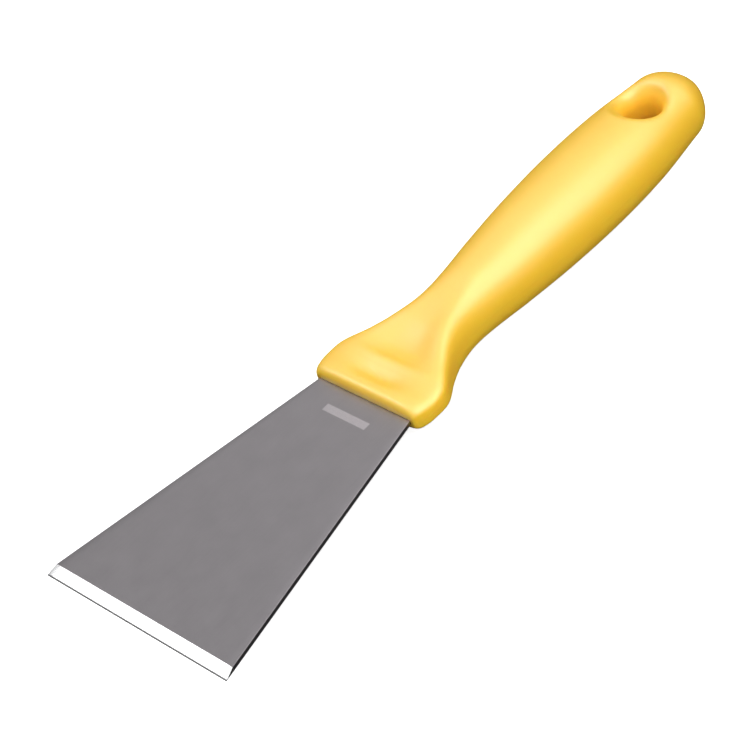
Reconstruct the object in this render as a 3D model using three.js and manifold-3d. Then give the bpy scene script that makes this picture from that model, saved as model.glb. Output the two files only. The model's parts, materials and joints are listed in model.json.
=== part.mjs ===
// Hand scraper, 75 mm: a flared stainless blade whose tang is moulded into a one-piece plastic handle.
// Units are millimetres. Every shape is first laid out in the tool's own frame: the origin is the middle of
// the cutting edge, X runs along that edge, Y runs back towards the handle's end, and z = 0 is the blade's
// mid-plane. The tool group then sets the scraper down as it lies on a bench: cutting edge and belly down.

import * as THREE from 'three';
import { mergeVertices } from 'three/addons/utils/BufferGeometryUtils.js';
import Module from 'manifold-3d';

// ---- driving dimensions -------------------------------------------------------------------------------------

const EDGE_WIDTH = 75;        // length of the cutting edge
const BLADE_LENGTH = 93.5;    // from the cutting edge to the handle's front face
const NECK_WIDTH = 36.5;      // blade width where it enters the handle
const BLADE_THICKNESS = 1.5;
const BEVEL_LENGTH = 3.7;     // ground on the upper face only
const EDGE_LAND = 0.15;       // thickness left at the cutting edge

const SEAT_DEPTH = 7;         // full-width part of the blade inside the handle
const TANG_WIDTH = 16;
const TANG_LENGTH = 74;       // inside the handle, seat included
const TANG_FILLET = 4;        // where the seat steps down to the tang
const TANG_CORNER = 3;
const KEY_HOLE_RADIUS = 3;    // the plastic runs through these and locks the tang
const KEY_HOLES = [30, 56];   // distance of each from the handle's front face

const HANDLE_LENGTH = 146.5;
const LIP_RADIUS = 2.4;       // rounding round the handle's front face
const LIP_SIDE = 0.4;         // the sides round off this much less
const TIP_LENGTH = 10.6;      // rounded tail end
const TIP_POWER = 1.9;
const GAP = 0.3;              // clearance between the blade and the plastic

const HANG_RADIUS = 5.6;      // the round hanging hole, where it is narrowest
const HANG_CENTRE = 126;      // from the handle's front face
const FLARE_WIDTH = 5;        // the hole flares out like a trumpet to both faces
const FLARE_FALL = 8.5;       // depth of the flare

// Profiles of the handle, as [distance from the front face, value]; a smooth curve runs through the points.
const HALF_WIDTH = [[0, 20.2], [6, 21.7], [12.5, 21.1], [20, 16.2], [27, 12.5], [35, 10.6], [45, 11],
  [58, 12.9], [76, 14.6], [96, 15.6], [116, 15], [134, 12.6], [146.5, 11]];
const CREST_HEIGHT = [[0, 4.5], [4, 4.7], [8, 4.6], [12, 5.1], [16, 6], [22, 7.7], [28, 9.3], [42, 10.2],
  [58, 11.3], [76, 12.5], [96, 12.7], [116, 12.1], [134, 10.9], [146.5, 10.3]];
// The thumb rest in the middle of both faces: how far it sinks below the crest, and its half-width. It is a
// faint dish, a low ridge behind it, then a scoop that runs out up the grip.
const THUMB_DEPTH = [[0, 0], [3.5, 0.2], [6.8, 1.3], [10, 0.4], [12.5, 0.1], [15.2, 1.5], [18.6, 2.8],
  [24, 2.8], [30, 2.2], [38, 1], [47, 0], [146.5, 0]];
const THUMB_SPREAD = [[0, 9], [8, 9], [14, 12], [18, 11], [24, 9], [30, 7.5], [38, 6], [47, 5], [146.5, 5]];
const THUMB_POWER = 2.6;      // above 2, its floor is broad and its walls are steep
// Squareness of the cross-section: high in the flat block at the front, almost an ellipse in the grip.
const SQUARENESS = [[0, 4.5], [14, 4], [28, 2.8], [42, 2.25], [146.5, 2.2]];

const AROUND = 56;            // facets round the handle
const LIP_ROWS = 3;
const BODY_ROWS = 78;
const ROW_CROWDING = 1.6;     // above 1, the rows crowd towards the tail end
const HANG_SEGMENTS = 48;     // facets round the hanging hole
const FLARE_ROWS = 5;
const FLARE_END = 0.84;       // the share of the flare's quarter turn that is cut

// ---- materials ----------------------------------------------------------------------------------------------

const steel = new THREE.MeshStandardMaterial({ color: 0x8a8589, roughness: 0.38, metalness: 1 });
const plastic = new THREE.MeshStandardMaterial({ color: 0xfbd45a, roughness: 0.42, metalness: 0 });

// ---- helpers ------------------------------------------------------------------------------------------------

const wasm = await Module();
wasm.setup();

function toSolid(geometry) {
  geometry.deleteAttribute('normal');
  geometry.deleteAttribute('uv');
  const merged = mergeVertices(geometry, 1e-4);
  return new wasm.Manifold(new wasm.Mesh({
    numProp: 3,
    vertProperties: new Float32Array(merged.attributes.position.array),
    triVerts: new Uint32Array(merged.index.array),
  }));
}

function toGeometry(solid) {
  const mesh = solid.getMesh();
  const geometry = new THREE.BufferGeometry();
  geometry.setAttribute('position', new THREE.BufferAttribute(mesh.vertProperties, 3));
  geometry.setIndex(new THREE.BufferAttribute(mesh.triVerts, 1));
  geometry.computeVertexNormals();
  return geometry;
}

// A smooth curve through [position, value] points: cubic pieces whose end slopes are those of the chords
// between each point's neighbours.
function smoothCurve(points) {
  const last = points.length - 1;
  const slope = (i) => {
    const [before, after] = [points[Math.max(i - 1, 0)], points[Math.min(i + 1, last)]];
    return (after[1] - before[1]) / (after[0] - before[0]);
  };
  return (position) => {
    const i = Math.min(Math.max(points.findLastIndex((p) => p[0] <= position), 0), last - 1);
    const [[x0, y0], [x1, y1]] = [points[i], points[i + 1]];
    const span = x1 - x0;
    const t = THREE.MathUtils.clamp((position - x0) / span, 0, 1);
    return (1 + 2 * t) * (1 - t) ** 2 * y0 + t * (1 - t) ** 2 * span * slope(i)
      + (3 - 2 * t) * t ** 2 * y1 - (1 - t) * t ** 2 * span * slope(i + 1);
  };
}

const signedPower = (value, power) => Math.sign(value) * Math.abs(value) ** power;

// A plate of even thickness about the blade's mid-plane, cut to an outline.
function plate(outline, thickness) {
  const geometry = new THREE.ExtrudeGeometry(outline, { depth: thickness, bevelEnabled: false });
  geometry.translate(0, 0, -thickness / 2);
  return toSolid(geometry);
}

// ---- blade --------------------------------------------------------------------------------------------------

// Adds the right-hand side of the seat and tang to an outline that has reached the handle's front face.
// The blade's taper runs on through the seat; "grow" widens everything for the socket in the handle.
function addTang(outline, neckHalf, grow) {
  const taper = (EDGE_WIDTH - NECK_WIDTH) / 2 / BLADE_LENGTH;
  const seatHalf = neckHalf - SEAT_DEPTH * taper;
  const seatEnd = BLADE_LENGTH + SEAT_DEPTH + grow;
  const tangHalf = TANG_WIDTH / 2 + grow;
  const tangEnd = BLADE_LENGTH + TANG_LENGTH + grow;
  outline.lineTo(seatHalf, seatEnd);
  outline.lineTo(tangHalf + TANG_FILLET, seatEnd);
  outline.absarc(tangHalf + TANG_FILLET, seatEnd + TANG_FILLET, TANG_FILLET, -Math.PI / 2, -Math.PI, true);
  outline.absarc(tangHalf - TANG_CORNER, tangEnd - TANG_CORNER, TANG_CORNER, 0, Math.PI / 2, false);
  outline.absarc(TANG_CORNER - tangHalf, tangEnd - TANG_CORNER, TANG_CORNER, Math.PI / 2, Math.PI, false);
  outline.absarc(-tangHalf - TANG_FILLET, seatEnd + TANG_FILLET, TANG_FILLET, 0, -Math.PI / 2, true);
  outline.lineTo(-seatHalf, seatEnd);
}

function addKeyHoles(outline, radius) {
  for (const distance of KEY_HOLES) {
    const hole = new THREE.Path();
    hole.absarc(0, BLADE_LENGTH + distance, radius, 0, 2 * Math.PI, true);
    outline.holes.push(hole);
  }
}

function buildBlade() {
  const outline = new THREE.Shape();
  outline.moveTo(-EDGE_WIDTH / 2, 0);
  outline.lineTo(EDGE_WIDTH / 2, 0);
  outline.lineTo(NECK_WIDTH / 2, BLADE_LENGTH);
  addTang(outline, NECK_WIDTH / 2, 0);
  outline.lineTo(-NECK_WIDTH / 2, BLADE_LENGTH);
  addKeyHoles(outline, KEY_HOLE_RADIUS);

  // The ground bevel: a wedge taken off the upper face, drawn in side view and run along the edge.
  const top = BLADE_THICKNESS / 2;
  const slope = (BLADE_THICKNESS - EDGE_LAND) / BEVEL_LENGTH;
  const over = 2;
  const wedge = new THREE.Shape();
  wedge.moveTo(-over, EDGE_LAND - top - over * slope);
  wedge.lineTo(BEVEL_LENGTH + over, top + over * slope);
  wedge.lineTo(-over, top + over * slope);
  const grinding = new THREE.ExtrudeGeometry(wedge, { depth: EDGE_WIDTH + 2 * over, bevelEnabled: false });
  // The side view's axes are turned to run along +Y and +Z, and its depth along X.
  grinding.rotateY(Math.PI / 2);
  grinding.rotateX(Math.PI / 2);
  grinding.translate(-EDGE_WIDTH / 2 - over, 0, 0);
  return toGeometry(plate(outline, BLADE_THICKNESS).subtract(toSolid(grinding)));
}

// ---- handle -------------------------------------------------------------------------------------------------

const halfWidth = smoothCurve(HALF_WIDTH);
const crestHeight = smoothCurve(CREST_HEIGHT);
const thumbDepth = smoothCurve(THUMB_DEPTH);
const thumbSpread = smoothCurve(THUMB_SPREAD);
const squareness = smoothCurve(SQUARENESS);

// One point of the handle's skin. The section is a squared-off ellipse whose height sinks into the thumb
// rest, and the tail end closes it like a ball.
function handlePoint(distance, angle, inset) {
  const intoTip = Math.max(distance - (HANDLE_LENGTH - TIP_LENGTH), 0) / TIP_LENGTH;
  const closing = (1 - Math.min(intoTip, 1) ** TIP_POWER) ** (1 / TIP_POWER);
  const power = 2 / squareness(distance);
  const x = (halfWidth(distance) * closing - LIP_SIDE * inset) * signedPower(Math.cos(angle), power);
  const sunk = thumbDepth(distance) * Math.exp(-(Math.abs(x / thumbSpread(distance)) ** THUMB_POWER));
  const z = ((crestHeight(distance) - sunk) * closing - inset) * signedPower(Math.sin(angle), power);
  return new THREE.Vector3(x, BLADE_LENGTH + distance, z);
}

// The skin is a ball's grid with its poles on Y: the front pole becomes the middle of the flat front face,
// the next rows round its lip, and the rest follow the profiles to the tail end.
function handleSkin() {
  const rows = 1 + LIP_ROWS + BODY_ROWS;
  const geometry = new THREE.SphereGeometry(1, AROUND, rows);
  const position = geometry.attributes.position;
  const onBall = new THREE.Vector3();
  for (let i = 0; i < position.count; i += 1) {
    onBall.fromBufferAttribute(position, i);
    const row = rows - Math.floor(i / (AROUND + 1));
    const angle = Math.atan2(onBall.z, onBall.x);
    if (row === 0) {
      position.setXYZ(i, 0, BLADE_LENGTH, 0);
    } else if (row <= 1 + LIP_ROWS) {
      const turn = ((row - 1) / LIP_ROWS) * (Math.PI / 2);
      const point = handlePoint(LIP_RADIUS * (1 - Math.cos(turn)), angle, LIP_RADIUS * (1 - Math.sin(turn)));
      position.setXYZ(i, point.x, point.y, point.z);
    } else {
      const along = (row - 1 - LIP_ROWS) / BODY_ROWS;
      const distance = LIP_RADIUS + (HANDLE_LENGTH - LIP_RADIUS) * (1 - (1 - along) ** ROW_CROWDING);
      const point = handlePoint(distance, angle, 0);
      position.setXYZ(i, point.x, point.y, point.z);
    }
  }
  return toSolid(geometry);
}

// The hanging hole's cutter is a spool. It is turned for a grip with flat faces at the height "flat", and then
// its two ends are bent to follow the real skin.
function hangingHole() {
  const flat = 10;
  const end = flat + 5;
  const flare = [];
  for (let i = 0; i <= FLARE_ROWS; i += 1) {
    const turn = (Math.PI / 2) * FLARE_END * (i / FLARE_ROWS);
    const radius = HANG_RADIUS + FLARE_WIDTH * (1 - Math.cos(turn));
    flare.push(new THREE.Vector2(radius, flat - FLARE_FALL * (1 - Math.sin(turn))));
  }
  const upper = [...flare, new THREE.Vector2(flare.at(-1).x, end), new THREE.Vector2(0, end)];
  const lower = upper.map((point) => new THREE.Vector2(point.x, -point.y)).reverse();
  const geometry = new THREE.LatheGeometry([...lower, ...upper], HANG_SEGMENTS);
  geometry.rotateX(Math.PI / 2);
  const position = geometry.attributes.position;
  for (let i = 0; i < position.count; i += 1) {
    const [x, back, z] = [position.getX(i), position.getY(i), position.getZ(i)];
    const distance = HANG_CENTRE + back;
    const share = Math.abs(x) / halfWidth(distance);
    const power = squareness(distance);
    const skin = crestHeight(distance) * (1 - share ** power) ** (1 / power);
    position.setXYZ(i, x, BLADE_LENGTH + distance, z + Math.sign(z) * (skin - flat));
  }
  return toSolid(geometry);
}

// The socket is the seat and tang grown by the gap; plugs of plastic stand in it where the tang has holes.
function tangSocket() {
  const neckHalf = NECK_WIDTH / 2 + GAP;
  const outline = new THREE.Shape();
  outline.moveTo(-neckHalf, BLADE_LENGTH - SEAT_DEPTH);
  outline.lineTo(neckHalf, BLADE_LENGTH - SEAT_DEPTH);
  outline.lineTo(neckHalf, BLADE_LENGTH);
  addTang(outline, neckHalf, GAP);
  outline.lineTo(-neckHalf, BLADE_LENGTH);
  addKeyHoles(outline, KEY_HOLE_RADIUS - GAP);
  return plate(outline, BLADE_THICKNESS + 2 * GAP);
}

function buildHandle() {
  return toGeometry(handleSkin().subtract(hangingHole()).subtract(tangSocket()));
}

// ---- assembly -----------------------------------------------------------------------------------------------

const blade = new THREE.Mesh(buildBlade(), steel);
blade.name = 'blade';
const handle = new THREE.Mesh(buildHandle(), plastic);
handle.name = 'handle';

const tool = new THREE.Group();
tool.add(blade, handle);

// On a bench the scraper rests on the underside of its cutting edge and on the lowest point of its belly.
const skin = handle.geometry.attributes.position;
let restTilt = 0;
for (let i = 0; i < skin.count; i += 1) {
  restTilt = Math.max(restTilt, Math.atan2(-skin.getZ(i) - BLADE_THICKNESS / 2, skin.getY(i)));
}
tool.rotation.x = restTilt;

// The part's origin is the middle of the footprint, on the bench.
const scraper = new THREE.Group();
scraper.add(tool);
scraper.updateMatrixWorld(true);
const bounds = new THREE.Box3().setFromObject(tool, true);
tool.position.set(0, -(bounds.min.y + bounds.max.y) / 2, -bounds.min.z);
scraper.updateMatrixWorld(true);

export default scraper;
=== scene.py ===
# %% [markdown]
# # A hand scraper: a flared steel blade in a moulded yellow handle
#
# The tool is two pieces. A stainless plate is punched, ground to one bevel and laid in a mould, and plastic
# is moulded round its tang. So this lesson builds two closed meshes from formulas, gives each a finish, and
# sets them on a pale bench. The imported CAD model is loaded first: it is the frame that both pieces fit.

# %% Load the frame
import json
import math

import bmesh
import bpy
import numpy as np
from mathutils import Matrix


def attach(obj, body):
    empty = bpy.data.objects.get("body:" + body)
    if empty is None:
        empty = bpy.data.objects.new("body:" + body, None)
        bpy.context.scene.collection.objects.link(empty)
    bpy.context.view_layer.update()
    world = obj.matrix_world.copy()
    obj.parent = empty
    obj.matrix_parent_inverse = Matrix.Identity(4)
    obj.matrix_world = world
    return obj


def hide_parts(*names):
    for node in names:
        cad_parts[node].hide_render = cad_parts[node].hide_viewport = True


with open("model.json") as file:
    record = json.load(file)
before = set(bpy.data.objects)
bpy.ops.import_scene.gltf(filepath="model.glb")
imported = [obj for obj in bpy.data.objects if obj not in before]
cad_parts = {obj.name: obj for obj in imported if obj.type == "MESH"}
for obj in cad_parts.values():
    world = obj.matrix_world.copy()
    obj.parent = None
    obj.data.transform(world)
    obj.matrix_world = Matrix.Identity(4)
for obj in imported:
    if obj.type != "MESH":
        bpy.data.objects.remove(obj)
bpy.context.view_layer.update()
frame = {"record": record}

# %% [markdown]
# ## The tool's own frame
#
# The shapes are laid out in millimetres in the tool's own frame: the middle of the cutting edge is the
# origin, X runs along that edge, Y runs back to the handle's end and z = 0 is the middle of the plate.
# On the bench the scraper leans, with its edge and its belly down. The record's mount on the blade's
# underside gives both the lean and the place, because that mount's point is known in both frames.

# %% From the tool's frame to the bench
MM = 0.001            # one millimetre in metres
BLADE_THICKNESS = 1.5
MOUNT_BACK = 45.0     # the mount's distance behind the cutting edge

underside = next(m for m in frame["record"]["mounts"] if m["name"] == "blade_underside")
lean = math.atan2(underside["axis"][1], -underside["axis"][2])
turn = np.array([
    [1, 0, 0],
    [0, math.cos(lean), -math.sin(lean)],
    [0, math.sin(lean), math.cos(lean)],
])
shift = np.array(underside["pos_m"]) / MM - turn @ np.array([0, MOUNT_BACK, -BLADE_THICKNESS / 2])


def on_bench(points):
    """Points in the tool's frame, in mm, turned by the lean and shifted to the bench, in metres."""
    return (np.asarray(points, float) @ turn.T + shift) * MM


print(f"the blade leans {math.degrees(lean):.2f} degrees; the edge is at {on_bench([0, 0, 0]).round(4)}")

# %% [markdown]
# ## The camera
#
# It is a long lens, about 85 cm from the tool, well round to the right, some forty degrees up and rolled,
# so the tool lies across the picture from corner to corner. Its angles are named in the tool's frame and
# turned to the bench with everything else.

# %% Camera
CAMERA_AROUND = math.radians(58.9)   # from straight in front of the cutting edge, towards +X
CAMERA_UP = math.radians(41.3)
CAMERA_ROLL = math.radians(-22.3)
CAMERA_DISTANCE = 852.9
CAMERA_LENS = 144                    # focal length
CAMERA_CLIP = 0.01                   # nearest thing it sees, in metres
AIM = np.array([0.0, 119.0, 0.0])    # near the tool's middle
AIM_OFF = np.array([13.8, 9.4])      # how far the aim sits right of and above the picture's middle

towards = np.array([
    math.sin(CAMERA_AROUND) * math.cos(CAMERA_UP),
    -math.cos(CAMERA_AROUND) * math.cos(CAMERA_UP),
    math.sin(CAMERA_UP),
])
level = np.cross([0, 0, 1], towards)
level /= np.linalg.norm(level)
plumb = np.cross(towards, level)
right = math.cos(CAMERA_ROLL) * level + math.sin(CAMERA_ROLL) * plumb
above = math.cos(CAMERA_ROLL) * plumb - math.sin(CAMERA_ROLL) * level
eye = AIM + CAMERA_DISTANCE * towards - AIM_OFF[0] * right - AIM_OFF[1] * above

camera = bpy.data.objects.new("camera", bpy.data.cameras.new("camera"))
camera.data.lens = CAMERA_LENS
camera.data.clip_start = CAMERA_CLIP
bpy.context.scene.collection.objects.link(camera)
pose = np.eye(4)
pose[:3, :3] = turn @ np.column_stack([right, above, towards])
pose[:3, 3] = on_bench(eye)
camera.matrix_world = Matrix(pose.tolist())
bpy.context.scene.camera = camera
print("camera at", on_bench(eye).round(3))

# %% [markdown]
# ## From grids to a mesh
#
# Each surface is a grid of points: rows of equal length, neighbours joined by four-sided faces. Every row
# is closed, like a ring round the handle, so its last point is joined to its first. Grids that share an
# edge are stacked into one mesh, their doubled points are merged, and Blender turns every face outwards.
# Every edge of a closed mesh has two faces, so the code counts the edges that haven't.

# %% Grid helpers
MERGE_DISTANCE = 2e-6                # metres
SLIVER_LENGTH = MERGE_DISTANCE / 10  # shorter edges are dissolved


def grid_faces(rows, columns, start):
    """Faces of a grid of closed rows, whose point (r, c) is number start + r * columns + c."""
    r = np.arange(rows - 1)[:, None]
    c = np.arange(columns)[None, :]
    following = (c + 1) % columns
    near, far = r * columns, (r + 1) * columns
    corners = [near + c, near + following, far + following, far + c]
    return start + np.stack(corners, axis=-1).reshape(-1, 4)


def add_piece(name, grids):
    """One smooth closed mesh from grids of points laid out in the tool's frame, in mm."""
    points, faces, count = [], [], 0
    for grid in grids:
        rows, columns = grid.shape[:2]
        points.append(on_bench(grid.reshape(-1, 3)))
        faces.append(grid_faces(rows, columns, count))
        count += rows * columns
    mesh = bpy.data.meshes.new(name)
    mesh.from_pydata(np.concatenate(points).tolist(), [], np.concatenate(faces).tolist())
    built = bmesh.new()
    built.from_mesh(mesh)
    bmesh.ops.remove_doubles(built, verts=built.verts, dist=MERGE_DISTANCE)
    bmesh.ops.dissolve_degenerate(built, edges=built.edges, dist=SLIVER_LENGTH)
    bmesh.ops.recalc_face_normals(built, faces=built.faces)
    open_edges = sum(1 for edge in built.edges if len(edge.link_faces) != 2)
    built.to_mesh(mesh)
    built.free()
    mesh.shade_smooth()
    piece = bpy.data.objects.new(name, mesh)
    bpy.context.scene.collection.objects.link(piece)
    print(f"{name}: {len(mesh.vertices)} points, {len(mesh.polygons)} faces, {open_edges} open edges")
    return piece


# %% [markdown]
# ## Smooth profiles
#
# The handle's width and height change along its length. They could be sculpted by hand, but numbers can be
# checked and changed one at a time. So each profile is a few points a moulder would mark on a drawing, and
# a smooth curve through them: between two points it is a cubic whose end slopes are those of the chords
# between each point's neighbours. It is the same rule as in the CAD model.

# %% Profiles of the handle
BLADE_LENGTH = 93.5   # cutting edge to the handle's front face
HANDLE_LENGTH = 146.5
LIP_RADIUS = 2.4      # rounding round the front face
LIP_SIDE = 0.4        # share of that rounding which the sides get
TIP_LENGTH = 10.6     # rounded tail end
TIP_POWER = 1.9       # 2 would round it to an ellipse

# Each pair is a distance behind the handle's front face and the measure there, in mm.
HALF_WIDTH = [[0, 20.2], [6, 21.7], [12.5, 21.1], [20, 16.2], [27, 12.5], [35, 10.6], [45, 11],
              [58, 12.9], [76, 14.6], [96, 15.6], [116, 15], [134, 12.6], [146.5, 11]]
CREST_HEIGHT = [[0, 4.5], [4, 4.7], [8, 4.6], [12, 5.1], [16, 6], [22, 7.7], [28, 9.3], [42, 10.2],
                [58, 11.3], [76, 12.5], [96, 12.7], [116, 12.1], [134, 10.9], [146.5, 10.3]]
# The thumb rest: a faint dish, a low ridge behind it, then a scoop that runs out up the grip.
THUMB_DEPTH = [[0, 0], [3.5, 0.2], [6.8, 1.3], [10, 0.4], [12.5, 0.1], [15.2, 1.5], [18.6, 2.8], [24, 2.8],
               [30, 2.2], [38, 1], [47, 0], [146.5, 0]]
THUMB_SPREAD = [[0, 9], [8, 9], [14, 12], [18, 11], [24, 9], [30, 7.5], [38, 6], [47, 5], [146.5, 5]]
THUMB_POWER = 2.6     # how broad the floor of the thumb rest is
# How square the cross-section is: 2 is an ellipse, and more has tighter corners.
SQUARENESS = [[0, 4.5], [14, 4], [28, 2.8], [42, 2.25], [146.5, 2.2]]


def smooth_curve(points, position):
    """A cubic between each two points, with the end slopes of the chords between their neighbours."""
    places, values = np.array(points, float).T
    before = np.maximum(np.arange(len(places)) - 1, 0)
    after = np.minimum(np.arange(len(places)) + 1, len(places) - 1)
    slopes = (values[after] - values[before]) / (places[after] - places[before])
    i = np.clip(np.searchsorted(places, position, side="right") - 1, 0, len(places) - 2)
    span = places[i + 1] - places[i]
    t = np.clip((position - places[i]) / span, 0, 1)
    return ((1 + 2 * t) * (1 - t) ** 2 * values[i] + t * (1 - t) ** 2 * span * slopes[i]
            + (3 - 2 * t) * t ** 2 * values[i + 1] - (1 - t) * t ** 2 * span * slopes[i + 1])


WAIST = 35.0
print("half width at the waist, in mm:", smooth_curve(HALF_WIDTH, np.array([WAIST])))

# %% [markdown]
# ## The handle's skin
#
# A cross-section is a squared-off ellipse: the power in its formula is high in the flat block, where the
# corners are tight, and close to two in the grip. In the middle of both faces the section sinks into a
# thumb rest: a faint dish near the front, a low ridge behind it, then a scoop that runs out up the grip.
# The tail end closes like a ball, and round the hanging hole the skin falls away like a trumpet's bell.
#
# The hole would leave ragged facets if it were cut through this grid, so the skin is made in patches. The
# grip is rings from the front lip to just short of the hole. From there on, a collar runs outwards from the
# hole's rim to the last ring and the outline of the tail, with its points crowded where the flare is
# steepest. A short tunnel joins the upper collar to the lower one.

# %% Height of the skin
HANG_CENTRE = 126.0   # from the handle's front face
HANG_RADIUS = 5.6
FLARE_WIDTH = 5.0
FLARE_FALL = 8.5      # how far the flare takes the skin down
SLIGHTEST = 1e-6      # stands in for a width of nought where something is divided by it
WAVE_DIGITS = 12      # decimals kept of a sine or cosine


def closing(distance):
    """1 along the grip, falling to 0 at the very end along a rounded curve.

    It is 1 less t to the tip power, all to the power 1 / tip power, as t goes from 0 to 1 along the tip.
    """
    into_tip = np.clip((distance - (HANDLE_LENGTH - TIP_LENGTH)) / TIP_LENGTH, 0, 1)
    return (1 - into_tip ** TIP_POWER) ** (1 / TIP_POWER)


def half_width(distance):
    """The width profile times the closing of the tail."""
    return smooth_curve(HALF_WIDTH, distance) * closing(distance)


def crown(distance, x):
    """Half height of the section before its sides round off: the crest's height less the thumb rest's sink.

    The sink is the depth there times e to the minus |x / spread| to the thumb power, a broad-floored bowl.
    """
    share = np.abs(x) / smooth_curve(THUMB_SPREAD, distance)
    sunk = smooth_curve(THUMB_DEPTH, distance) * np.exp(-share ** THUMB_POWER)
    return (smooth_curve(CREST_HEIGHT, distance) - sunk) * closing(distance)


def squared_off(angle, squareness):
    """Cosine and sine of the angle, each to the power 2 / squareness: 2 gives a circle, more a squarer one.

    They are rounded first, because a small power would blow up the sine of pi, which isn't quite nought.
    """
    waves = np.round([np.cos(angle), np.sin(angle)], WAVE_DIGITS)
    across, upright = [np.sign(wave) * np.abs(wave) ** (2 / squareness) for wave in waves]
    return across, upright


def section_ring(distance, angle, inset):
    """The skin's section: a squared-off ellipse as wide and as high as the profiles say, less the inset.

    Adding 0 * x spreads the distance over the whole ring.
    """
    across, upright = squared_off(angle, smooth_curve(SQUARENESS, distance))
    x = (half_width(distance) - LIP_SIDE * inset) * across
    z = (crown(distance, x) - inset) * upright
    return np.stack([x, BLADE_LENGTH + distance + 0 * x, z], axis=-1)


def skin_height(x, distance):
    """Height of the upper skin above a point of the mid-plane.

    Round the hanging hole it falls away along a quarter ellipse: the fall times 1 less the root of 1 less s
    squared, where s goes from 0 at the flare's outer edge to 1 at the rim.
    """
    squareness = smooth_curve(SQUARENESS, distance)
    share = np.clip(np.abs(x) / np.maximum(half_width(distance), SLIGHTEST), 0, 1)
    height = crown(distance, x) * (1 - share ** squareness) ** (1 / squareness)
    to_hole = np.hypot(x, distance - HANG_CENTRE) - HANG_RADIUS
    into_flare = np.clip(FLARE_WIDTH - to_hole, 0, FLARE_WIDTH) / FLARE_WIDTH
    return height - FLARE_FALL * (1 - np.sqrt(1 - into_flare ** 2))


BELLY = 96.0
belly_crest = skin_height(np.zeros(1), np.array([BELLY]))
print("height of the crest over the belly, in mm:", belly_crest.round(2))

# %% Lip and grip rings
AROUND = 192          # points round a ring
LIP_ROWS = 8
GRIP_ROWS = 250
GRIP_END = 110.0      # the collar takes over here

angle = np.arange(AROUND) * 2 * np.pi / AROUND
roll = np.linspace(0, np.pi / 2, LIP_ROWS, endpoint=False)[:, None]
lip_rings = section_ring(LIP_RADIUS * (1 - np.cos(roll)), angle, LIP_RADIUS * (1 - np.sin(roll)))
grip_rings = section_ring(np.linspace(LIP_RADIUS, GRIP_END, GRIP_ROWS)[:, None], angle, 0)
skin_rings = np.concatenate([lip_rings, grip_rings])
print("skin rings:", skin_rings.shape)

# %% [markdown]
# ## The socket
#
# The plastic closes tightly on the blade, so the front face has a slot the size of the neck, and the slot
# runs on inside as a socket round the seat and the tang. A boolean cut would make it too, but it leaves
# long thin faces. So it is one more stack of rings, each a flat rectangle with slightly eased corners,
# whose half width follows the tang.

# %% Socket rings
NECK_WIDTH = 36.5
EDGE_WIDTH = 75.0
TAPER = (EDGE_WIDTH - NECK_WIDTH) / 2 / BLADE_LENGTH
FIT = 0.06            # clearance of the moulded plastic round the steel
SEAT_DEPTH = 7.0
TANG_HALF = 8.0
TANG_LENGTH = 74.0
TANG_FILLET = 4.0
SLOT_SQUARENESS = 16
SEAT_ROWS = 4
FILLET_ROWS = 8
FILLET_START = 0.02   # radians into the fillet, so its first ring isn't the seat's last
TANG_ROWS = 6
END_ROWS = 10


def tang_half_width(depth):
    """Half width at a depth behind the front face: the blade's taper, a fillet, the tang, a round end.

    The fillet and the end are quarter circles: the radius times the root of 1 less t squared.
    """
    seat = NECK_WIDTH / 2 - TAPER * depth
    into_fillet = np.clip((depth - SEAT_DEPTH) / TANG_FILLET, 0, 1)
    fillet = TANG_HALF + TANG_FILLET * (1 - np.sqrt(1 - (1 - into_fillet) ** 2))
    into_end = np.clip((depth - (TANG_LENGTH - TANG_HALF)) / TANG_HALF, 0, 1)
    return np.where(depth <= SEAT_DEPTH, seat, fillet) * np.sqrt(1 - into_end ** 2)


def flat_ring(depth, angle, half, half_height):
    """A rectangle with eased corners, as a very square ellipse."""
    across, upright = squared_off(angle, SLOT_SQUARENESS)
    x = half * across
    return np.stack([x, BLADE_LENGTH + depth + 0 * x, half_height * upright + 0 * x], axis=-1)


seat_depths = np.linspace(0, SEAT_DEPTH, SEAT_ROWS)
fillet_turn = np.linspace(FILLET_START, np.pi / 2, FILLET_ROWS)
fillet_depths = SEAT_DEPTH + TANG_FILLET * (1 - np.cos(fillet_turn))
tang_depths = np.linspace(SEAT_DEPTH + TANG_FILLET, TANG_LENGTH - TANG_HALF, TANG_ROWS)[1:]
end_turn = np.linspace(0, np.pi / 2, END_ROWS)
end_depths = TANG_LENGTH - TANG_HALF * (1 - np.sin(end_turn))[1:]
depths = np.concatenate([seat_depths, fillet_depths, tang_depths, end_depths])[:, None]
socket_rings = flat_ring(depths, angle, tang_half_width(depths) + FIT, BLADE_THICKNESS / 2 + FIT)
socket_rings[-1, :, 0] = 0  # the round end closes on the middle line
print("socket rings:", socket_rings.shape)

# %% [markdown]
# ## The collar round the hanging hole
#
# Its outer edge is the last grip ring's upper half, followed by the outline of the tail. Its inner edge is
# the rim, and each spoke joins one point of each. Along a spoke the steps are small at both ends: at the
# tail's outline and down in the flare, where the skin is steepest.

# %% Collar and tunnel
TAIL_POINTS = 151
SPOKE_STEPS = 46
TUNNEL_ROWS = 12
RIM_SHARE = 0.36      # share of the rim that the spokes from the last grip ring take
TUNNEL_PINCH = 0.15   # draft: the radius is this much less where the mould's halves meet

line = section_ring(np.full((1, 1), GRIP_END), angle[: AROUND // 2 + 1], 0)[0, :, :2]
tail_turn = np.linspace(0, np.pi, TAIL_POINTS + 2)[1:-1]
tail_distance = GRIP_END + (HANDLE_LENGTH - GRIP_END) * np.sin(tail_turn)
tail_x = -np.sign(np.cos(tail_turn)) * half_width(tail_distance)
tail = np.stack([tail_x, BLADE_LENGTH + tail_distance], axis=-1)
outer = np.concatenate([line, tail])

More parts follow.
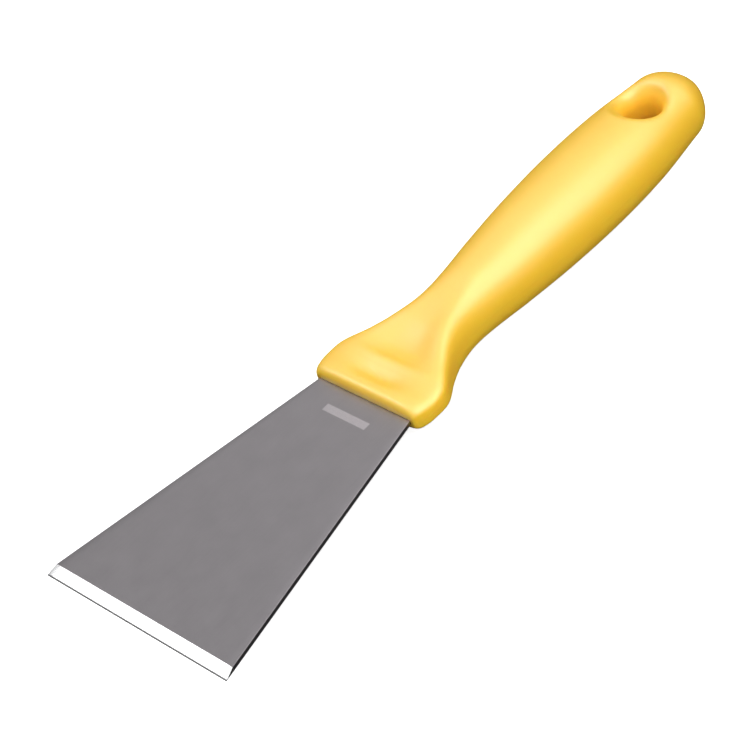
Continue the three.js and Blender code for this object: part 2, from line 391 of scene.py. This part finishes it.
# The rim's points go round the hole the same way, as angles in plan.
line_turn = np.linspace(RIM_SHARE * np.pi, -RIM_SHARE * np.pi, len(line)) - np.pi / 2
rest_turn = np.linspace(-RIM_SHARE * np.pi, (RIM_SHARE - 2) * np.pi, TAIL_POINTS + 2)[1:-1] - np.pi / 2
rim_turn = np.concatenate([line_turn, rest_turn])
rim_direction = np.stack([np.cos(rim_turn), np.sin(rim_turn)], axis=-1)
hang_middle = np.array([0, BLADE_LENGTH + HANG_CENTRE])
rim = hang_middle + HANG_RADIUS * rim_direction

steps = (1 - np.cos(np.linspace(0, np.pi, SPOKE_STEPS)))[:, None, None] / 2
plan = rim + (outer - rim) * steps
height = skin_height(plan[..., 0], plan[..., 1] - BLADE_LENGTH)
height[-1, len(line):] = 0  # the tail's outline lies in the mid-plane
upper_collar = np.concatenate([plan, height[..., None]], axis=-1)
lower_collar = upper_collar * [1, 1, -1]

fall = np.linspace(1, -1, TUNNEL_ROWS)[:, None]
tunnel_radius = HANG_RADIUS - TUNNEL_PINCH * (1 - np.abs(fall)) + 0 * rim_turn
tunnel_plan = hang_middle + tunnel_radius[..., None] * rim_direction
tunnel = np.concatenate([tunnel_plan, (fall * height[0])[..., None]], axis=-1)
print("collar:", upper_collar.shape, "tunnel:", tunnel.shape)

# %% [markdown]
# ## One handle from six grids
#
# The real handle is one shot of plastic, so its patches become one closed mesh: the skin, the front face,
# the socket, two collars and the tunnel. The front face needs no formula of its own, only a few rows
# straight from the slot to the lip. The mesh rides on the tool's one body and stands for the CAD handle.

# %% The handle
FACE_ROWS = 4

face_mix = np.linspace(0, 1, FACE_ROWS)[:, None, None]
front_face = socket_rings[0] + (skin_rings[0] - socket_rings[0]) * face_mix
handle = add_piece("handle_moulding", [
    skin_rings,
    front_face,
    socket_rings,
    upper_collar,
    lower_collar,
    tunnel,
])
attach(handle, "root")
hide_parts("handle")

# %% [markdown]
# ## The blade
#
# A flat outline could be extruded and bevelled, but the ground edge and the seat inside the handle are
# easier to place as rings, so the plate is rings as well. Each is a rectangle with eased corners, set square
# to the tool's length. At the cutting edge the rings are thin, because the bevel is ground away there, and
# the first one is pressed flat to close the narrow land. The last one is drawn in to close the tang's end.

# %% Plate rings
EDGE_LAND = 0.15      # thickness left at the cutting edge
BEVEL_LENGTH = 3.7
BEVEL_EASE = 0.08     # the bevel's back line is this soft
CORNER = 0.12         # easing of the plate's long edges
CORNER_POINTS = 5
FACE_POINTS = 24
BEVEL_ROWS = 8
OPEN_ROWS = 40

quarter = np.linspace(0, np.pi / 2, CORNER_POINTS)
corner_turn = np.concatenate([quarter + i * np.pi / 2 for i in range(4)])
across_face = np.linspace(1, -1, FACE_POINTS + 2)[1:-1]
flat = np.ones(FACE_POINTS)


def going_round(at_corners, upper, lower):
    """Values round a ring: right upper corner, upper face, left corners, lower face, right lower corner."""
    first, last = CORNER_POINTS, 3 * CORNER_POINTS
    return np.concatenate([at_corners[:first], upper, at_corners[first:last], lower, at_corners[last:]])


side = going_round(np.repeat([1, -1, -1, 1], CORNER_POINTS), across_face, -across_face)
level_of = going_round(np.repeat([1, 1, -1, -1], CORNER_POINTS), flat, -flat)
bulge_x = going_round(np.cos(corner_turn), 0 * flat, 0 * flat)
bulge_z = going_round(np.sin(corner_turn), flat, -flat)


def plate_ring(y, half, top):
    """Eased rectangle: the easing's circle is pushed out to each corner, and the faces run between them.

    The circle's radius is at most a third of the plate's thickness there.
    """
    bottom = -BLADE_THICKNESS / 2 + 0 * top
    ease = np.minimum(CORNER, (top - bottom) / 3)
    x = side * (half - ease) + bulge_x * ease
    z = (top + bottom) / 2 + level_of * ((top - bottom) / 2 - ease) + bulge_z * ease
    return np.stack([x, y + 0 * x, z], axis=-1)


bevel_end = BEVEL_LENGTH + BEVEL_EASE
ground_y = np.linspace(0, BEVEL_LENGTH - BEVEL_EASE, BEVEL_ROWS)
bevel_y = np.concatenate([ground_y, [BEVEL_LENGTH, bevel_end]])
open_y = np.linspace(bevel_end, BLADE_LENGTH, OPEN_ROWS)[1:]
blade_y = np.concatenate([bevel_y, open_y])[:, None]
rise = np.clip(blade_y / BEVEL_LENGTH, 0, 1)
blade_top = -BLADE_THICKNESS / 2 + EDGE_LAND + rise * (BLADE_THICKNESS - EDGE_LAND)
open_rings = plate_ring(blade_y, EDGE_WIDTH / 2 - TAPER * blade_y, blade_top)
inside = depths[1:]
tang_rings = plate_ring(BLADE_LENGTH + inside, tang_half_width(inside), BLADE_THICKNESS / 2 + 0 * inside)
tang_rings[-1, :, 0] = 0
closed_edge = open_rings[:1].copy()
closed_edge[..., 2] = open_rings[0, :, 2].mean()
blade = add_piece("blade_plate", [np.concatenate([closed_edge, open_rings, tang_rings])])
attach(blade, "root")
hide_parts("blade")

# %% [markdown]
# ## Shader helpers
#
# A finish is a small node tree. Its maths reads best as plain expressions, so one class wraps a socket and
# gives it the arithmetic operators, each of which adds a Math node. Every other node comes from one method
# that takes the node's type, its settings and its inputs. The sky at the end uses the same two classes.

# %% Wires
class Wire:
    """A number or a vector flowing out of a node; arithmetic on it adds Math nodes."""

    def __init__(self, nodes, socket):
        self.nodes = nodes
        self.socket = socket

    def math(self, operation, *others):
        """The operation on this wire and the others, in that order."""
        return self.nodes.add("ShaderNodeMath", {"operation": operation}, dict(enumerate((self, *others))))

    def __add__(self, other):
        return self.math("ADD", other)

    def __sub__(self, other):
        return self.math("SUBTRACT", other)

    def __rsub__(self, other):
        return self.nodes.add("ShaderNodeMath", {"operation": "SUBTRACT"}, {0: other, 1: self})

    def __mul__(self, other):
        return self.math("MULTIPLY", other)

    __radd__ = __add__
    __rmul__ = __mul__

    def size(self):
        """The number without its sign."""
        return self.math("ABSOLUTE")

    def ramp(self, low, high):
        """0 at low, 1 at high, straight between and level outside."""
        inputs = {"Value": self, "From Min": low, "From Max": high}
        return self.nodes.add("ShaderNodeMapRange", {"clamp": True}, inputs)


# %% Node trees
class Nodes:
    """A node tree, and the one method that adds a node to it."""

    def __init__(self, tree):
        self.tree = tree

    def fill(self, socket, value):
        """Links a wire to a socket, or sets the socket's own value."""
        if isinstance(value, Wire):
            self.tree.links.new(value.socket, socket)
        else:
            socket.default_value = value

    def add(self, kind, settings=None, inputs=None, output=0):
        """A node of that kind, with its settings made before its sockets are filled; gives one output."""
        node = self.tree.nodes.new(kind)
        for key, value in (settings or {}).items():
            setattr(node, key, value)
        for key, value in (inputs or {}).items():
            self.fill(node.inputs[key], value)
        return Wire(self, node.outputs[output])

    def split(self, place):
        """The X, Y and Z of a vector."""
        first = self.add("ShaderNodeSeparateXYZ", None, {"Vector": place})
        return [Wire(self, socket) for socket in first.socket.node.outputs]


# %% Finishes
class Finish(Nodes):
    """A material with one Principled shader, and the nodes that finishes share."""

    def __init__(self, name, **constants):
        self.material = bpy.data.materials.new(name)
        self.material.use_nodes = True
        super().__init__(self.material.node_tree)
        self.shader = self.tree.nodes["Principled BSDF"]
        self.drive(**constants)

    def drive(self, **values):
        """Sets or links sockets of the shader; base_color stands for Base Color, and so on."""
        for key, value in values.items():
            self.fill(self.shader.inputs[key.replace("_", " ").title().replace("Ior", "IOR")], value)

    def mix(self, factor, one, other):
        """A colour that goes from one to other as factor goes from 0 to 1.

        Sockets 6 and 7, and output 2, are the node's colours; its numbers and vectors have the same names.
        """
        settings = {"data_type": "RGBA"}
        return self.add("ShaderNodeMix", settings, {"Factor": factor, 6: one, 7: other}, output=2)

    def noise(self, place, scale, detail, roughness=0.5):
        """Soft noise from 0 to 1, with scale cells to the mm."""
        inputs = {"Vector": place, "Scale": scale, "Detail": detail, "Roughness": roughness}
        return self.add("ShaderNodeTexNoise", None, inputs)

    def stretch(self, place, scale):
        """The place times a scale for each axis; a small one draws the pattern out along its axis."""
        return self.add("ShaderNodeVectorMath", {"operation": "MULTIPLY"}, {0: place, 1: scale})

    def tool_place(self):
        """The surface point in the tool's own frame, in mm: the bench's shift and lean undone."""
        place = self.add("ShaderNodeTexCoord", output="Object")
        inputs = {"Location": shift * MM, "Rotation": (lean, 0, 0), "Scale": (MM, MM, MM)}
        return self.add("ShaderNodeMapping", {"vector_type": "TEXTURE"}, {"Vector": place, **inputs})

    def bump(self, height, distance):
        """Tilts the shader's normal by a relief: the height, about 0 to 1, times a distance in metres."""
        relief = self.add("ShaderNodeBump", None, {"Height": height, "Distance": distance, "Strength": 1.0})
        self.drive(normal=relief)

    def paint(self, piece):
        """Gives the piece this material."""
        piece.data.materials.append(self.material)
        print(f"{self.material.name}: {len(self.tree.nodes)} nodes, on {piece.name}")


# %% [markdown]
# ## Yellow plastic
#
# Polypropylene comes out of a finely blasted mould semi-glossy, with a skin like faint orange peel. One
# flat colour would look like paint, so slow noises cloud the colour and the gloss, and a fine one gives the
# peel. Light goes a little way in: subsurface scattering does that, and it warms the shaded places. The
# shader's IOR is above this plastic's real 1.5, because the broad soft key lamp gives only a weak sheen.

# %% Yellow plastic
PARTING = 0.06                        # half width of the line that the mould's halves leave, in mm
DEEP_YELLOW = (0.95, 0.555, 0.02, 1)
LIGHT_YELLOW = (0.98, 0.595, 0.03, 1)
CLOUD_SCALE = 0.06
SMEAR_SCALE = 0.35
PEEL_SCALE = 2.2
SCUFF_STRETCH = (3.0, 0.35, 3.0)      # scuffs run along the handle
SCUFF_START = 0.62                    # a scuff begins where the noise is this high
SCUFF_FULL = 0.75
SEMI_GLOSS = 0.36                     # least roughness
PLASTIC_RELIEF = 0.00002              # metres

yellow = Finish("yellow_plastic", ior=1.9, specular_ior_level=1.0, subsurface_weight=0.4,
                subsurface_radius=(1.0, 0.5, 0.2), subsurface_scale=0.005)
place = yellow.tool_place()
z = yellow.split(place)[2]
cloud = yellow.noise(place, CLOUD_SCALE, detail=3)
smears = yellow.noise(place, SMEAR_SCALE, detail=4)
peel = yellow.noise(place, PEEL_SCALE, detail=3)
streaks = yellow.noise(yellow.stretch(place, SCUFF_STRETCH), 1.0, detail=5, roughness=0.65)
scuffs = streaks.ramp(SCUFF_START, SCUFF_FULL)
parting = z.size().ramp(3 * PARTING, PARTING)
yellow.drive(base_color=yellow.mix(cloud, DEEP_YELLOW, LIGHT_YELLOW))
yellow.drive(roughness=SEMI_GLOSS + 0.10 * smears + 0.10 * scuffs)
yellow.bump(peel - 0.5 * scuffs + 2.0 * parting, PLASTIC_RELIEF)
yellow.paint(handle)

# %% [markdown]
# ## Satin steel
#
# The plate is cold-rolled stainless: satin, with a faint grain along its length and the hairline scratches
# of use. The bevel is freshly ground and brighter, with fine lines square to the edge. Near the handle is a
# plain etched bar, where a maker would put a mark: etching leaves the steel paler and matt. An anisotropic
# shader could draw the grain's gleam, but noise stretched along the blade can be baked for other programs.
# Towards the handle the plate is painted paler: a painted reflection, not a change in the steel.

# %% Satin steel
MARK_MIDDLE = (0.0, 85.8)
MARK_HALF = (8.5, 1.3)
MARK_EDGE = 0.12                      # its outline is this soft
UPPER_FACE = 0.1                      # the mark is full above this height over the plate's middle
GRAIN_STRETCH = (6.0, 0.15, 6.0)
SCRATCH_STRETCH = (9.0, 0.05, 9.0)
SCRATCH_START = 0.62                  # a scratch begins where the noise is this high
SCRATCH_FULL = 0.7
GRINDING_STRETCH = (14.0, 0.25, 1.0)
MOTTLE_SCALE = 0.12
FINE_SCALE = 5.0
STEEL_SHADE = 0.31
PAINTED_REFLECTION_END = 90.0                      # painted reflection: the plate is painted paler from its edge to here
GREEN_SHARE = 0.945                   # of the red: the steel is a warm grey
BLUE_SHARE = 0.985
GROUND_STEEL = (0.90, 0.90, 0.91, 1)
SATIN = 0.36                          # roughness
STEEL_RELIEF = 0.000004               # metres

steel = Finish("stainless_steel", metallic=1.0)
place = steel.tool_place()
x, y, z = steel.split(place)
grain = steel.noise(steel.stretch(place, GRAIN_STRETCH), 1.0, detail=3)
mottle = steel.noise(place, MOTTLE_SCALE, detail=4)
fine = steel.noise(place, FINE_SCALE, detail=2)
hairs = steel.noise(steel.stretch(place, SCRATCH_STRETCH), 1.0, detail=6, roughness=0.7)
scratches = hairs.ramp(SCRATCH_START, SCRATCH_FULL)
on_bevel = y.ramp(bevel_end, BEVEL_LENGTH)
grinding = steel.noise(steel.stretch(place, GRINDING_STRETCH), 1.0, detail=2)
in_width = (x - MARK_MIDDLE[0]).size().ramp(MARK_HALF[0] + MARK_EDGE, MARK_HALF[0] - MARK_EDGE)
in_height = (y - MARK_MIDDLE[1]).size().ramp(MARK_HALF[1] + MARK_EDGE, MARK_HALF[1] - MARK_EDGE)
mark = in_width * in_height * z.ramp(0, UPPER_FACE)
# Each pattern lightens or darkens the plate by its share. The paling along the plate is a painted
# reflection, and the mark's paleness is grainy.
shade = STEEL_SHADE + 0.09 * y.ramp(0, PAINTED_REFLECTION_END) + 0.05 * grain + 0.07 * mottle + 0.05 * fine
shade = shade - 0.06 * scratches + mark * (0.12 + 0.16 * fine)
channels = {"Red": shade, "Green": shade * GREEN_SHARE, "Blue": shade * BLUE_SHARE}
tone = steel.add("ShaderNodeCombineColor", None, channels)
steel.drive(base_color=steel.mix(on_bevel, tone, GROUND_STEEL))
steel.drive(roughness=SATIN + 0.08 * grain + 0.16 * mark - 0.16 * on_bevel)
steel.bump((grain + 0.6 * fine - scratches) * (1 - on_bevel) + grinding * on_bevel, STEEL_RELIEF)
steel.paint(blade)

# %% [markdown]
# ## Bench and light
#
# The tool lies on a wide bench of white paper, as in a studio. The paper glows, which all but drowns the
# shadow, and it is hidden from bounced and reflected light, so the undersides stay dark and the outline is
# crisp.
#
# One set of lamps hardly gives both a soft even yellow and a clear highlight, so the work is shared. The
# key lamp, above and to the right, shows only in reflections: it is the sheen on the plastic and the steel.
# The ceiling lamp and three fills give only soft light. A small edge lamp in front on the left does both,
# and is there for the bevel to reflect. The sky is pale overhead and nearly dark at the horizon, which
# darkens what faces sideways.

# %% Bench
BENCH_HALF = 3.0      # metres

bench_mesh = bpy.data.meshes.new("bench")
bench_corners = [(BENCH_HALF * a, BENCH_HALF * b, 0) for a, b in [(-1, -1), (1, -1), (1, 1), (-1, 1)]]
bench_mesh.from_pydata(bench_corners, [], [(0, 1, 2, 3)])
bench = bpy.data.objects.new("bench", bench_mesh)
bench.visible_diffuse = False
bench.visible_glossy = False
bpy.context.scene.collection.objects.link(bench)
paper = Finish("pale_paper", base_color=(0.9, 0.9, 0.9, 1), roughness=0.9,
               emission_color=(1, 1, 1, 1), emission_strength=0.7)
paper.paint(bench)

# %% Lights
def studio_lamp(name, direction, distance, size, power, soft=True, sheen=True):
    """A square lamp in that direction from the tool's middle, facing it; distance and size are in metres.

    Soft is whether it lights rough surfaces, and sheen whether it shows in reflections.
    """
    lamp = bpy.data.objects.new(name, bpy.data.lights.new(name, "AREA"))
    lamp.data.size = size
    lamp.data.energy = power
    back = turn @ (np.array(direction) / np.linalg.norm(direction))
    level_side = np.cross([0, 0, 1], back)
    level_side /= np.linalg.norm(level_side)
    stand = np.eye(4)
    stand[:3, :3] = np.column_stack([level_side, np.cross(back, level_side), back])
    stand[:3, 3] = on_bench(AIM) + back * distance
    lamp.matrix_world = Matrix(stand.tolist())
    bpy.context.scene.collection.objects.link(lamp)
    lamp.visible_diffuse = soft
    lamp.visible_glossy = sheen
    print(f"{name}: {power} W at {stand[:3, 3].round(2)}")


studio_lamp("key", [0.48, 0.12, 0.87], distance=1.1, size=1.3, power=7.5, soft=False)
studio_lamp("ceiling", [-0.1, 0.05, 1.0], distance=0.9, size=3.0, power=9.0, sheen=False)
studio_lamp("left_fill", [-0.6, 0.1, 0.8], distance=1.1, size=0.9, power=3.7, sheen=False)
studio_lamp("near_fill", [0.5, -0.3, 0.75], distance=1.1, size=0.9, power=3.0, sheen=False)
studio_lamp("right_fill", [0.97, -0.05, 0.25], distance=1.1, size=0.9, power=11.0, sheen=False)
studio_lamp("edge_light", [-0.61, -0.27, 0.75], distance=0.9, size=0.3, power=0.7)

# %% Sky
HORIZON_STRENGTH = 0.03
ZENITH_STRENGTH = 0.58
ZENITH_FROM = 0.9     # the sky is brightest above this sine of the height

world = bpy.data.worlds.new("sky")
world.use_nodes = True
sky = Nodes(world.node_tree)
height_of_sky = sky.split(sky.add("ShaderNodeTexCoord", output="Generated"))[2]
strength = sky.add("ShaderNodeMapRange", {"interpolation_type": "SMOOTHSTEP"}, {
    "Value": height_of_sky,
    "From Min": 0.0,
    "From Max": ZENITH_FROM,
    "To Min": HORIZON_STRENGTH,
    "To Max": ZENITH_STRENGTH,
})
background = sky.tree.nodes["Background"]
sky.fill(background.inputs["Color"], (1, 1, 1, 1))
sky.fill(background.inputs["Strength"], strength)
bpy.context.scene.world = world
bpy.context.scene.view_settings.view_transform = "Standard"
print("sky:", len(sky.tree.nodes), "nodes")
